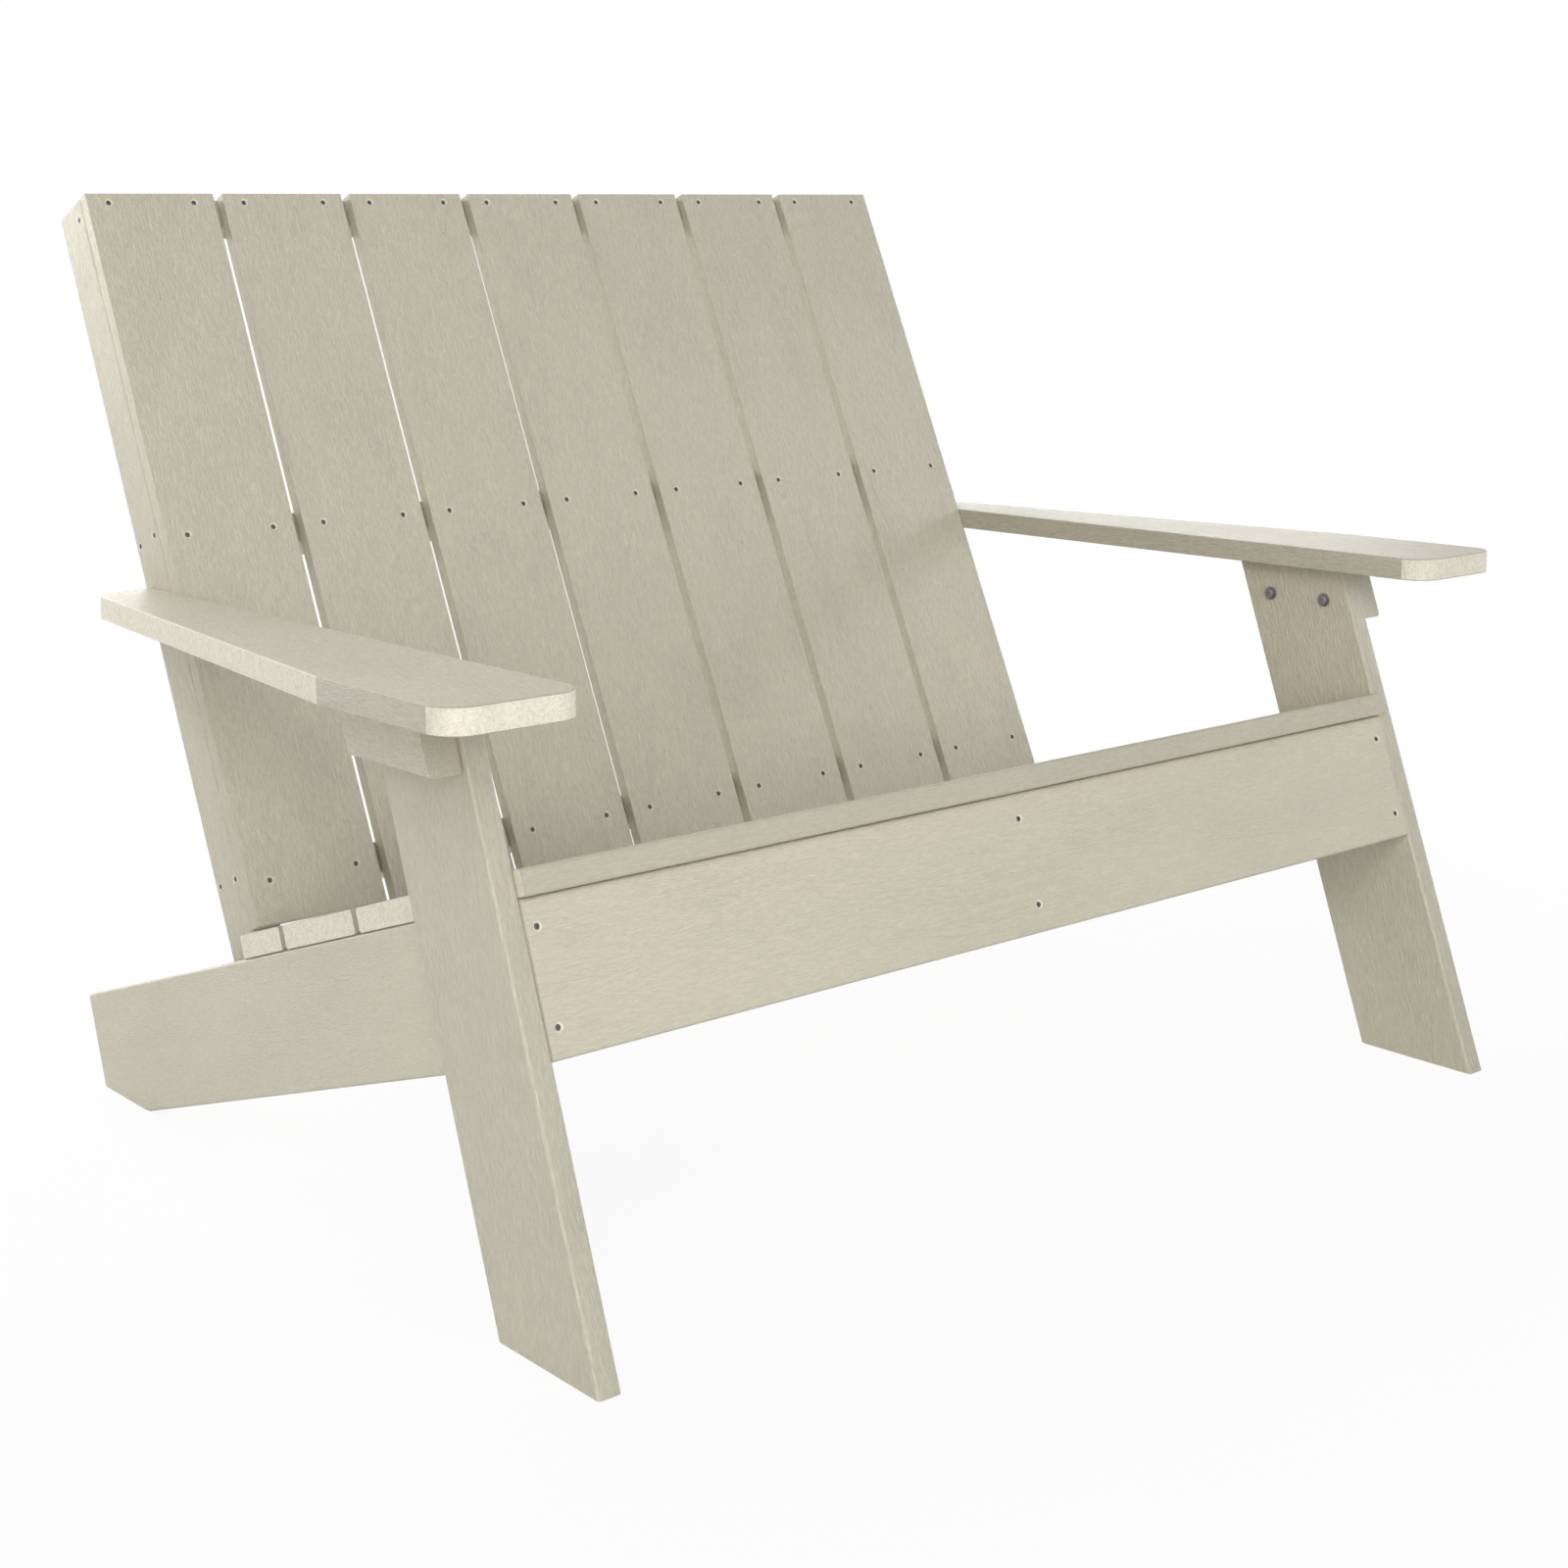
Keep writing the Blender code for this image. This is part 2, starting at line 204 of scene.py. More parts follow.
def bevel_edges(piece, test, radius, segments):
    """Rounds the edges that pass a test."""
    only(piece)
    bpy.ops.object.mode_set(mode="EDIT")
    pick_edges(piece, test)
    bpy.ops.mesh.bevel(offset=radius, segments=segments, profile=0.5, affect="EDGES")
    bpy.ops.object.mode_set(mode="OBJECT")


def saw(piece, point, normal):
    """Cuts off what lies beyond a plane and closes the cut."""
    only(piece)
    bpy.ops.object.mode_set(mode="EDIT")
    bpy.ops.mesh.select_all(action="SELECT")
    bpy.ops.mesh.bisect(plane_co=point, plane_no=normal, use_fill=True, clear_outer=True)
    bpy.ops.mesh.select_all(action="SELECT")
    bpy.ops.mesh.normals_make_consistent(inside=False)
    bpy.ops.object.mode_set(mode="OBJECT")


# %% [markdown]
# A face remembers how it was made: 0 where the mould pressed a wide face, a quarter on the smoother narrow
# sides, a half on the thin rim where the denser skin shows round a cut, three quarters on edges painted
# pale as a highlight where light catches them, and 1 where a tool went into the paler core. The quarter is
# also put on the sawn ends of the blocks under the arms, as painted shade. The material could guess this
# from the normal, but not on a board that leans, so the number is kept as an attribute named cut, which
# every later operator carries along and the material reads.

# %% Mark faces as moulded, cut or rim
marks = (0.0, 0.25, 0.5, 0.75, 1.0)
moulded, narrow, rim, painted_highlight, sawn = marks


def mark(piece, value, test):
    """Notes how the faces that pass a test were made."""
    layer = piece.data.attributes.get("cut") or piece.data.attributes.new("cut", "FLOAT", "FACE")
    for face in piece.data.polygons:
        if test(face):
            layer.data[face.index].value = value


def fresh(face):
    """True for the faces that the last bevel made, which it leaves selected."""
    return face.select


def faces_along(axis, least):
    """Test for faces that look along an axis, either way."""
    return lambda face: abs(face.normal[axis]) > least


# %% Make a bar and move it into its frame
edge_steps = 4
cut_softness = 0.0005
cut_steps = 2
cut_angle = radians(55)


def bar(name, low, high):
    """Box between two corners of a frame."""
    low, high = Vector(low), Vector(high)
    bpy.ops.object.select_all(action="DESELECT")
    bpy.ops.mesh.primitive_cube_add(size=1, location=(low + high) / 2, scale=high - low)
    piece = bpy.context.object
    piece.name = piece.data.name = name
    bpy.ops.object.transform_apply(location=True, rotation=False, scale=True)
    return piece


def set_in(piece, matrix):
    """Moves a piece from its frame into the world, and its place into its mesh."""
    only(piece)
    piece.matrix_world = matrix
    bpy.ops.object.transform_apply(location=True, rotation=True, scale=True)


def sharp(edge):
    """True where two faces meet at a saw cut."""
    return edge.calc_face_angle(0) > cut_angle


def board(name, low, high, grain, matrix, cuts=(), radius=edge_radius):
    """Moulded bar, long along the grain axis, sawn by planes of the world."""
    piece = bar(name, low, high)
    size = [high[axis] - low[axis] for axis in range(3)]
    width_axis = max((axis for axis in range(3) if axis != grain), key=lambda axis: size[axis])
    bevel_edges(piece, lambda edge: abs(runs(edge)[grain]) > square_on, radius, edge_steps)
    mark(piece, narrow, faces_along(width_axis, nearer_half))
    mark(piece, sawn, faces_along(grain, square_on))
    set_in(piece, matrix)
    ways = [along(matrix, grain)]
    for point, normal in cuts:
        saw(piece, point, normal)
        ways.append(Vector(normal).normalized())
        mark(piece, sawn, lambda face: face.normal.dot(ways[-1]) > dead_on
             and abs((face.center - Vector(point)).dot(ways[-1])) < hair)
    bevel_edges(piece, sharp, cut_softness, cut_steps)
    mark(piece, rim, lambda face: fresh(face) and all(abs(face.normal.dot(way)) < dead_on for way in ways))
    return piece


# %% [markdown]
# ## Screws and their countersinks
#
# Small screws with flat dark heads hold the slats. Each sits in a countersink, a shallow
# funnel with a short straight pocket, that shows as a pale ring round the head. A disc laid
# on the board could stand for it, but only a real hole catches the light on one side and
# shades the other. The cutter and the screw are modelled once at the origin, pointing up out
# of the board, and copied to each place. One cutter joined from all the places of a board
# drills it in a single Boolean, which is quicker and cleaner than a cut for each hole.

# %% Model the countersink's cutter
screw_sides = 20
pocket_radius = 0.0027
rim_radius = 0.0042
rim_depth = 0.0011
pocket_depth = 0.0034
overrun = 0.0010


def pick_faces(piece, test):
    """Selects the faces that pass a test, in edit mode."""
    bpy.ops.mesh.select_mode(type="FACE")
    bpy.ops.mesh.select_all(action="DESELECT")
    net = bmesh.from_edit_mesh(piece.data)
    for face in net.faces:
        face.select_set(test(face))
    bmesh.update_edit_mesh(piece.data)


def rod(name, sides, radius, low_z, high_z):
    """Upright rod of many sides between two heights, round the Z axis."""
    bpy.ops.object.select_all(action="DESELECT")
    bpy.ops.mesh.primitive_cylinder_add(
        vertices=sides, radius=radius, depth=high_z - low_z, location=(0, 0, (low_z + high_z) / 2))
    piece = bpy.context.object
    piece.name = name
    bpy.ops.object.transform_apply(location=True, rotation=False, scale=False)
    return piece


cutter = rod("countersink_cutter", screw_sides, pocket_radius, -pocket_depth, -rim_depth)
flare = (rim_radius - pocket_radius) / rim_depth
bpy.ops.object.mode_set(mode="EDIT")
pick_faces(cutter, lambda face: face.normal.z > square_on)
bpy.ops.mesh.extrude_region_move(TRANSFORM_OT_translate={"value": (0, 0, rim_depth + overrun)})
mouth = (rim_radius + flare * overrun) / pocket_radius
bpy.ops.transform.resize(value=(mouth, mouth, 1), center_override=(0, 0, overrun))
bpy.ops.object.mode_set(mode="OBJECT")
mark(cutter, sawn, lambda face: True)
print("cutter faces:", len(cutter.data.polygons))

# %% Model the screw
head_radius = 0.0025
head_top = -0.0011
head_height = 0.0016
drive_width = 0.0020
drive_depth = 0.0009
small_easing = 0.0003
easing_steps = 2

screw = rod("screw", screw_sides, head_radius, head_top - head_height, head_top)
bevel_edges(screw, above(head_top), small_easing, easing_steps)


def cut_out(piece, tool):
    """Takes a tool's shape out of a piece and deletes the tool."""
    only(piece)
    modifier = piece.modifiers.new("cut_out", "BOOLEAN")
    modifier.operation = "DIFFERENCE"
    modifier.solver = "EXACT"
    modifier.object = tool
    bpy.ops.object.modifier_apply(modifier=modifier.name)
    bpy.data.objects.remove(tool, do_unlink=True)


drive = bar("drive", (-drive_width / 2, -drive_width / 2, head_top - drive_depth),
            (drive_width / 2, drive_width / 2, head_top + overrun))
cut_out(screw, drive)
print("screw faces:", len(screw.data.polygons))

# %% Copy a pattern to many places and drill a board
turn_by_turn = 2.4
outward = {
    "front": Matrix.Rotation(pi / 2, 4, "X"),
    "up": Matrix.Identity(4),
    "down": Matrix.Rotation(pi, 4, "X"),
    "left": Matrix.Rotation(-pi / 2, 4, "Y"),
    "right": Matrix.Rotation(pi / 2, 4, "Y"),
}


def spots(matrix, face, points):
    """Matrices at points of a frame, with Z out of the board."""
    return [matrix @ Matrix.Translation(point) @ outward[face] for point in points]


def copies(pattern, name, places):
    """One piece of many copies of a pattern, each turned a little further."""
    bpy.ops.object.select_all(action="DESELECT")
    for index, place in enumerate(places):
        copy = bpy.data.objects.new(name, pattern.data.copy())
        bpy.context.scene.collection.objects.link(copy)
        copy.matrix_world = place @ Matrix.Rotation(index * turn_by_turn, 4, "Z")
        copy.select_set(True)
        bpy.context.view_layer.objects.active = copy
    if len(places) > 1:
        bpy.ops.object.join()
    piece = bpy.context.view_layer.objects.active
    piece.name = piece.data.name = name
    bpy.ops.object.transform_apply(location=True, rotation=True, scale=True)
    return piece


screw_places = {f"{part}_screws": [] for part in ("back", "rail", "seat", "apron", "arm")}


def countersink(piece, places, group):
    """Drills a board for its screws and notes where they go."""
    cut_out(piece, copies(cutter, "countersinks", places))
    screw_places[group] += places


# %% [markdown]
# ## Smooth shading that keeps the flats flat
#
# Smooth shading averages the normals of neighbouring faces, which would tint a wide flat face
# from its narrow bevels. Weighted normals let the large face win, so the flats stay flat and
# only the rounding shades.

# %% Finish a board
smooth_angle = radians(40)


def finish(piece):
    """Smooth shading with normals weighted by area."""
    only(piece)
    bpy.ops.object.shade_smooth_by_angle(angle=smooth_angle)
    modifier = piece.modifiers.new("weighted", "WEIGHTED_NORMAL")
    modifier.keep_sharp = True
    bpy.ops.object.modifier_apply(modifier=modifier.name)
    return piece


pieces = {}


def keep(piece, node, material):
    """Notes a finished board under its node, with its material's name."""
    pieces[node] = (finish(piece), material)


# %% [markdown]
# ## The back
#
# Seven slats lie side by side on three cross rails between two side rails. The slats are all
# alike, so one is modelled with its six countersinks, and the other six are copies, moved
# along X. An array modifier could repeat it too, but each slat is a piece of its own here. A
# slat is thinner than the other boards, and its narrow sides have the same skin as its faces.

# %% Model the first back slat and copy it
slat_screw_inset = 0.0233
slat_screw_heights = (0.0453, 0.3894, 0.7388)
slat_pitch = slat_width + slat_gap

slat = board("back_slat_board", (-row_half, 0, slat_lift),
             (slat_width - row_half, slat_thickness, back_height), 2, back_frame, (), crisp_radius)
mark(slat, moulded, faces_along(0, nearer_half))
slat_spots = spots(back_frame, "front", [
    (x, 0, z) for z in slat_screw_heights
    for x in (slat_screw_inset - row_half, slat_width - slat_screw_inset - row_half)])
countersink(slat, slat_spots, "back_screws")
keep(slat, "back_slat_1", "back_lumber")
slat.name = slat.data.name = "back_slat_1_board"
for number in range(2, slat_count + 1):
    shift = Matrix.Translation(((number - 1) * slat_pitch, 0, 0))
    twin = bpy.data.objects.new(f"back_slat_{number}_board", slat.data.copy())
    twin.data.name = twin.name
    bpy.context.scene.collection.objects.link(twin)
    set_in(twin, shift)
    pieces[f"back_slat_{number}"] = (twin, "back_lumber")
    screw_places["back_screws"] += [shift @ place for place in slat_spots]
print("slat faces:", len(slat.data.polygons), "screws:", len(screw_places["back_screws"]))

# %% Model the side rails
rail_foot = -seat_drop - rail_burial
top_screw_y, top_screw_drop = 0.0270, 0.0169
pair_screw_ys, pair_screw_drops = (0.0250, 0.0587), (0.3496, 0.6930)
rail_screws = [(top_screw_y, back_height - top_screw_drop)]
rail_screws += [(y, back_height - drop) for drop in pair_screw_drops for y in pair_screw_ys]
arm_screw_y = 0.0400


def in_back(y, z):
    """Height in the back frame of the point at Y there and Z in the world."""
    return (z - back_foot.z + y * sin(back_angle)) / cos(back_angle)


for side, label in ((-1, "left"), (1, "right")):
    low_x, high_x = sorted((side * rail_inner_x, side * row_half))
    rail = board(f"side_rail_{label}_board", (low_x, rail_front, rail_foot),
                 (high_x, rail_front + rail_depth, back_height), 2, back_frame)
    outer = spots(back_frame, label, [(side * row_half, y, z) for y, z in rail_screws])
    countersink(rail, outer, "rail_screws")
    opposite = "right" if side < 0 else "left"
    arm_screw_z = in_back(arm_screw_y, arm_bottom_z + board_thickness / 2)
    inner = spots(back_frame, opposite, [(side * rail_inner_x, arm_screw_y, arm_screw_z)])
    countersink(rail, inner, "arm_screws")
    keep(rail, f"back_side_rail_{label}", "back_lumber")
print("side rail screws:", len(screw_places["rail_screws"]))

# %% Model the cross rails
top_rail_z = back_height - heavy_thickness
middle_rail_z = (top_rail_z + bottom_rail_rise) / 2
cross_half = rail_inner_x - fit_gap
cross_rails = (("top", top_rail_z, heavy_thickness), ("middle", middle_rail_z, rail_depth),
               ("bottom", bottom_rail_rise, rail_depth))
for label, low_z, depth in cross_rails:
    rail = board(f"cross_rail_{label}_board", (-cross_half, rail_front, low_z),
                 (cross_half, rail_front + depth, low_z + heavy_thickness), 0, back_frame)
    keep(rail, f"back_rail_{label}", "cross_lumber")
print("cross rails at heights", [round(low_z, 4) for label, low_z, depth in cross_rails])

# %% [markdown]
# ## The seat
#
# Three wide slats and a narrow one lie across three stringers. The stringers run down to the
# rear and stand on the floor as the rear legs, so each is sawn twice: square to the front
# legs where it meets the apron, and level at its heel. The outline could be worked out and
# extruded, but a board that is sawn where the real one is gets its cut faces marked as cut.

# %% Model the seat slats
wide_slats = 3
seat_screw_inset = 0.0240
stringer_middle_x = stringer_inner_x + board_thickness / 2
stringer_xs = (-stringer_middle_x, 0, stringer_middle_x)
seat_rear = seat_depth - seat_rear_gap
rear_slat_front = seat_rear - rear_slat_width
wide_slat_pitch = rear_slat_front / wide_slats
wide_slat_width = wide_slat_pitch - seat_gap
rip = (seat_frame @ Vector((0, seat_rear, 0)), along(seat_frame, 1))
seat_slats = [(index * wide_slat_pitch, wide_slat_width, ()) for index in range(wide_slats)]
seat_slats.append((rear_slat_front, rear_slat_width, (rip,)))
for number, (front, width, cuts) in enumerate(seat_slats, 1):
    spare = edge_radius if cuts else 0
    piece = board(f"seat_slat_{number}_board", (-stringer_outer_x, front, -board_thickness),
                  (stringer_outer_x, front + width + spare, 0), 0, seat_frame, cuts)
    countersink(piece, spots(seat_frame, "up", [
        (x, y, 0) for x in stringer_xs
        for y in (front + seat_screw_inset, front + width - seat_screw_inset)]), "seat_screws")
    keep(piece, f"seat_slat_{number}", "cross_lumber")
print("seat screws:", len(screw_places["seat_screws"]))

# %% Model the apron
seat_up, leg_up, leg_rearward = along(seat_frame, 2), along(leg_frame, 2), along(leg_frame, 1)
leg_to_seat = seat_frame.translation - leg_frame.translation
apron_top = (leg_to_seat.dot(seat_up) - seat_drop) / leg_up.dot(seat_up)
apron_screw_drops = (0.0235, 0.1023)
apron = board("front_apron_board", (-stringer_outer_x, 0, apron_top - board_width),
              (stringer_outer_x, board_thickness, apron_top), 0, leg_frame)
countersink(apron, spots(leg_frame, "front", [
    (x, 0, apron_top - drop) for x in stringer_xs for drop in apron_screw_drops]), "apron_screws")
keep(apron, "front_apron", "cross_lumber")
print("apron's top in the legs' frame:", round(apron_top, 4))

# %% Model the stringers
floor_cut = ((0, 0, 0), (0, 0, -1))
stringer_bottom = -seat_drop - board_width
heel_start = (seat_front_z + stringer_bottom * cos(seat_angle)) / sin(seat_angle)
apron_rear = leg_frame @ Vector((0, board_thickness + fit_gap, 0))
for label, middle_x in zip(("left", "centre", "right"), stringer_xs):
    start_x = middle_x - board_thickness / 2
    piece = board(f"stringer_{label}_board", (start_x, -board_width, stringer_bottom),
                  (start_x + board_thickness, heel_start + heel_run, -seat_drop), 1, seat_frame,
                  ((apron_rear, -leg_rearward), floor_cut))
    keep(piece, f"stringer_{label}", "stringer_lumber")
print("heel from", round(heel_start, 4), "to", round(heel_start + heel_run, 4))

# %% [markdown]
# ## Legs, blocks and arms
#
# A leg is a slanted board with two level cuts. Its roundings keep the skin of the wide faces, so only the
# flat between them counts as narrow. The block under the arm is a short offcut that lies level, so its
# grain runs to the rear and both its ends are sawn to the leg's slant. These ends are smooth and get a
# narrow side's darker tone as painted shade from the arm above, and their upright corners are painted pale
# as a highlight.
#
# The arm starts as a wide level bar: a taper is sawn off its rear, its upright corners are rounded, and
# then the rims all round. A drawn outline would need its arcs worked out, while a bevel of the corners
# finds them itself. Behind the kink the sawn rim is painted pale, a painted highlight where light catches
# it.

# %% Model the legs and blocks
leg_top = ((0, 0, arm_bottom_z - fit_gap), (0, 0, 1))
leg_reach = arm_bottom_z / cos(leg_angle) + board_width
rounding_least, rounding_most = 0.3, 0.95
block_setback = (board_width - bracket_width) / 2
block_front = leg_frame @ Vector((0, block_setback, 0))
block_rear = leg_frame @ Vector((0, block_setback + bracket_width, 0))
block_top = arm_bottom_z - fit_gap
block_bottom = block_top - bracket_height
block_middle_x = leg_outer_x + fit_gap + heavy_thickness / 2
block_screw_reaches = (0.0340, 0.0860)


def rounded_to_x(face):
    """True for the faces of a rounding between a board's wide and narrow sides."""
    return rounding_least < abs(face.normal.x) < rounding_most


for side, label in ((-1, "left"), (1, "right")):
    low_x, high_x = sorted((side * leg_inner_x, side * leg_outer_x))
    leg = board(f"leg_{label}_board", (low_x, 0, -board_width), (high_x, board_width, leg_reach),
                2, leg_frame, (floor_cut, leg_top))
    mark(leg, moulded, rounded_to_x)
    keep(leg, f"leg_{label}", "leg_lumber")
    middle_x = side * block_middle_x
    block = board(f"arm_bracket_{label}_board",
                  (middle_x - heavy_thickness / 2, leg_foot_y, block_bottom),
                  (middle_x + heavy_thickness / 2, board_width, block_top), 1, level,
                  ((block_front, -leg_rearward), (block_rear, leg_rearward)), heavy_radius)
    # Painted shade: the blocks' sawn ends get the narrow sides' darker tone for the shade that the arm
    # casts on them.
    mark(block, narrow, faces_along(1, nearer_half))
    # Painted highlight: the upright rounded corners of the block are painted pale.
    mark(block, painted_highlight, lambda face: rounded_to_x(face) and abs(face.normal.z) < rounding_least)
    front_y = leg_front_y(block_bottom) + block_setback / cos(leg_angle)
    under = [(middle_x, front_y + reach, block_bottom) for reach in block_screw_reaches]
    countersink(block, spots(level, "down", under), "arm_screws")
    keep(block, f"arm_bracket_{label}", "level_lumber")
print("blocks from", round(block_bottom, 4), "to", round(block_top, 4), "high")

# %% Model the arms
arm_front_y = leg_front_y(arm_bottom_z) - arm_overhang
rail_face = back_frame @ Vector((0, rail_front, 0))
arm_rear_y = rail_face.y + (arm_bottom_z - rail_face.z) * tan(back_angle) + arm_rear_lap
arm_outer_x = stringer_inner_x + board_width
kink_y = arm_front_y + arm_straight_length
taper = Vector((arm_rear_width - board_width, arm_rear_y - kink_y, 0))
arm_top_z = arm_bottom_z + board_thickness
corner_steps = 10
rim_steps = 3
leaning = 0.02


def upright(edge, side, low, high):
    """True for upright edges between two corners, X as measured on the arm's own side."""
    x, y = side * edge.verts[0].co.x, edge.verts[0].co.y
    return abs(runs(edge).z) > square_on and low[0] < x < high[0] and low[1] < y < high[1]


for side, label in ((-1, "left"), (1, "right")):
    low_x, high_x = sorted((side * stringer_inner_x, side * arm_outer_x))
    arm = bar(f"arm_{label}_board", (low_x, arm_front_y, arm_bottom_z), (high_x, arm_rear_y, arm_top_z))
    saw(arm, (side * arm_outer_x, kink_y, 0), (side * taper.y, -taper.x, 0))
    mark(arm, narrow, faces_along(0, nearer_half))
    mark(arm, sawn, faces_along(1, leaning))
    front = (0, arm_front_y - hair), (arm_outer_x + hair, arm_front_y + hair)
    rear = (stringer_inner_x + hair, arm_rear_y - hair), (arm_outer_x, arm_rear_y + hair)
    for (low, high), radius in ((front, arm_front_radius), (rear, arm_rear_radius)):
        bevel_edges(arm, lambda edge: upright(edge, side, low, high), radius, corner_steps)
        mark(arm, sawn, fresh)
    bevel_edges(arm, lambda edge: abs(runs(edge).z) < hair, crisp_radius, rim_steps)
    mark(arm, rim, lambda face: fresh(face) and abs(face.normal.y) > leaning)
    # Painted highlight: the rim behind the kink is painted pale.
    mark(arm, painted_highlight, lambda face: fresh(face) and abs(face.normal.y) > leaning and face.center.y > kink_y)
    keep(arm, f"arm_{label}", "level_lumber")
print("arms run from", round(arm_front_y, 4), "to", round(arm_rear_y, 4))

# %% [markdown]
# ## Bolts and washers
#
# Flat-headed bolts with a hexagonal socket hold the legs, the blocks and the back. A bolt
# could be spun from its profile, but a cylinder whose rim is bevelled is fewer steps. A
# six-sided cutter makes the socket, and the shank is drawn out of the underside. A washer is
# a disc with a hole and eased rims. Both are made once, pointing up, and copied.

# %% Model the bolt
bolt_radius = 0.0030
bolt_head_radius = 0.0054
bolt_head_height = 0.0030
socket_radius = 0.0021
socket_depth = 0.0010
washer_radius = 0.0070
washer_thickness = 0.0015
shank_length = 0.0400
bolt_sides = 40
socket_sides = 6
head_easing = 0.0009
head_steps = 4

bolt = rod("bolt", bolt_sides, bolt_head_radius, 0, bolt_head_height)
bevel_edges(bolt, above(bolt_head_height), head_easing, head_steps)
only(bolt)
bpy.ops.object.mode_set(mode="EDIT")
pick_faces(bolt, lambda face: face.normal.z < -square_on)
bpy.ops.mesh.inset(thickness=bolt_head_radius - bolt_radius)
bpy.ops.mesh.extrude_region_move(TRANSFORM_OT_translate={"value": (0, 0, -shank_length)})
bpy.ops.object.mode_set(mode="OBJECT")
socket_floor = bolt_head_height - socket_depth
cut_out(bolt, rod("socket", socket_sides, socket_radius, socket_floor, bolt_head_height + overrun))
print("bolt faces:", len(bolt.data.polygons))

# %% Model the washer
washer = rod("washer", bolt_sides, washer_radius, -washer_thickness, 0)
bevel_edges(washer, sharp, small_easing, easing_steps)
cut_out(washer, rod("hole", bolt_sides, bolt_radius + fit_gap, -washer_thickness - overrun, overrun))
print("washer faces:", len(washer.data.polygons))

# %% [markdown]
# The bolts' places are worked out as in the plain model: two behind each block, two where a
# leg crosses its stringer, and two where a side rail does.

# %% Place the bolts and washers
bracket_bolt_rise = 0.0195
bracket_bolt_inset = 0.0240
leg_bolt_shares = (0.24, 0.72)
back_bolt_shares = (0.28, 0.74)
bracket_bolt_z = block_bottom + bracket_bolt_rise
washer_x = leg_inner_x - fit_gap - washer_thickness
leg_bolt_y = (board_thickness + board_width) / 2
back_bolt_y = rail_front + rail_depth / 2
for side, label in ((-1, "left"), (1, "right")):
    inward = outward["right" if side < 0 else "left"]
    bracket_ys = [leg_front_y(bracket_bolt_z) + (block_setback + reach) / cos(leg_angle)
                  for reach in (bracket_bolt_inset, bracket_width - bracket_bolt_inset)]
    bracket_points = [Vector((0, y, bracket_bolt_z)) for y in bracket_ys]
    leg_points = [leg_frame @ Vector((0, leg_bolt_y, apron_top - share * board_width))
                  for share in leg_bolt_shares]
    back_points = [back_frame @ Vector((0, back_bolt_y, -seat_drop - share * rail_burial))
                   for share in back_bolt_shares]
    for kind, pattern, x, ends, points in (
            ("bracket_washer", washer, washer_x, ("front", "rear"), bracket_points),
            ("bracket_bolt", bolt, washer_x - fit_gap, ("front", "rear"), bracket_points),
            ("leg_bolt", bolt, stringer_inner_x - fit_gap, ("upper", "lower"), leg_points),
            ("back_bolt", bolt, rail_inner_x - fit_gap, ("upper", "lower"), back_points)):
        for end, point in zip(ends, points):
            place = Matrix.Translation((side * x, point.y, point.z)) @ inward
            node = f"{kind}_{label}_{end}"
            pieces[node] = (finish(copies(pattern, f"{node}_part", [place])), "bolt_steel")
print("bolts and washers:", sum(1 for piece, material in pieces.values() if material == "bolt_steel"))

# %% Place the screws
screw_groups = []
for group, places in screw_places.items():
    screw_groups.append(finish(copies(screw, group, places)))
    print(group, len(places))
for pattern in (cutter, screw, bolt, washer):
    bpy.data.objects.remove(pattern, do_unlink=True)

# %% [markdown]
# ## Writing shaders as sums
#
# A material is a small calculation over the surface. The class below wraps a socket so that
# a sum of two sockets adds the Math node for it, and one method makes every other node.

# %% Wrap sockets and make nodes
class Field:
    """A number that varies over the surface, as the output of a shader node."""

    def __init__(self, maker, socket):
        self.maker = maker
        self.socket = socket

    def __add__(self, other):
        return self.maker.maths("ADD", self, other)

    def __sub__(self, other):
        return self.maker.maths("SUBTRACT", self, other)

    def __rsub__(self, other):
        return self.maker.maths("SUBTRACT", other, self)

    def __mul__(self, other):
        return self.maker.maths("MULTIPLY", self, other)

    __radd__ = __add__
    __rmul__ = __mul__


class Finish:
    """Makes the nodes of a material or a world round the shader that it starts with."""

    def __init__(self, owner, shader="Principled BSDF"):
        self.owner = owner
        self.owner.use_nodes = True
        self.tree = owner.node_tree
        self.shader = self.tree.nodes[shader]

    def node(self, kind, settings=None, sockets=None, output=0):
        """Makes a node: its settings first, then the values or links of its sockets."""
        made = self.tree.nodes.new(kind)
        for name, value in (settings or {}).items():
            setattr(made, name, value)
        for name, value in (sockets or {}).items():
            self.plug(made.inputs[name], value)
        return Field(self, made.outputs[output])

    def plug(self, socket, value):
        """Links a field to a socket, or sets its value."""
        if isinstance(value, Field):
            self.tree.links.new(value.socket, socket)
        else:
            socket.default_value = value

    def maths(self, operation, *values):
        """Math node on numbers and fields."""
        return self.node("ShaderNodeMath", {"operation": operation}, dict(enumerate(values)))

    def ramp(self, value, start, end):
        """Goes smoothly from 0 at one value to 1 at another, which may be the lower one."""
        return self.node("ShaderNodeMapRange", {"interpolation_type": "SMOOTHSTEP"},
                         {"Value": value, "From Min": start, "From Max": end})

    def blend(self, factor, first, second):
        """Colour mixed from two, which a Mix node takes at its sockets 6 and 7."""
        return self.node("ShaderNodeMix", {"data_type": "RGBA"}, {0: factor, 6: first, 7: second}, output=2)


# %% [markdown]
# ## Plastic lumber
#
# A moulded face has an embossed grain: short narrow furrows along the board, a faint streak
# of tone here and there, and a satin skin. The narrow sides are smoother and a little
# darker, and so is the thin rim round a cut. A sawn face opens the foamed core, which is
# paler, mottled and matt, with faint swirls where the foam flowed. All of it belongs to one
# board, so one material reads the mark on each face. The grain runs along the board's own
# axis, so each raked frame gets its own copy, with a Mapping node that turns the pattern
# with the frame and stretches its cells along the grain.

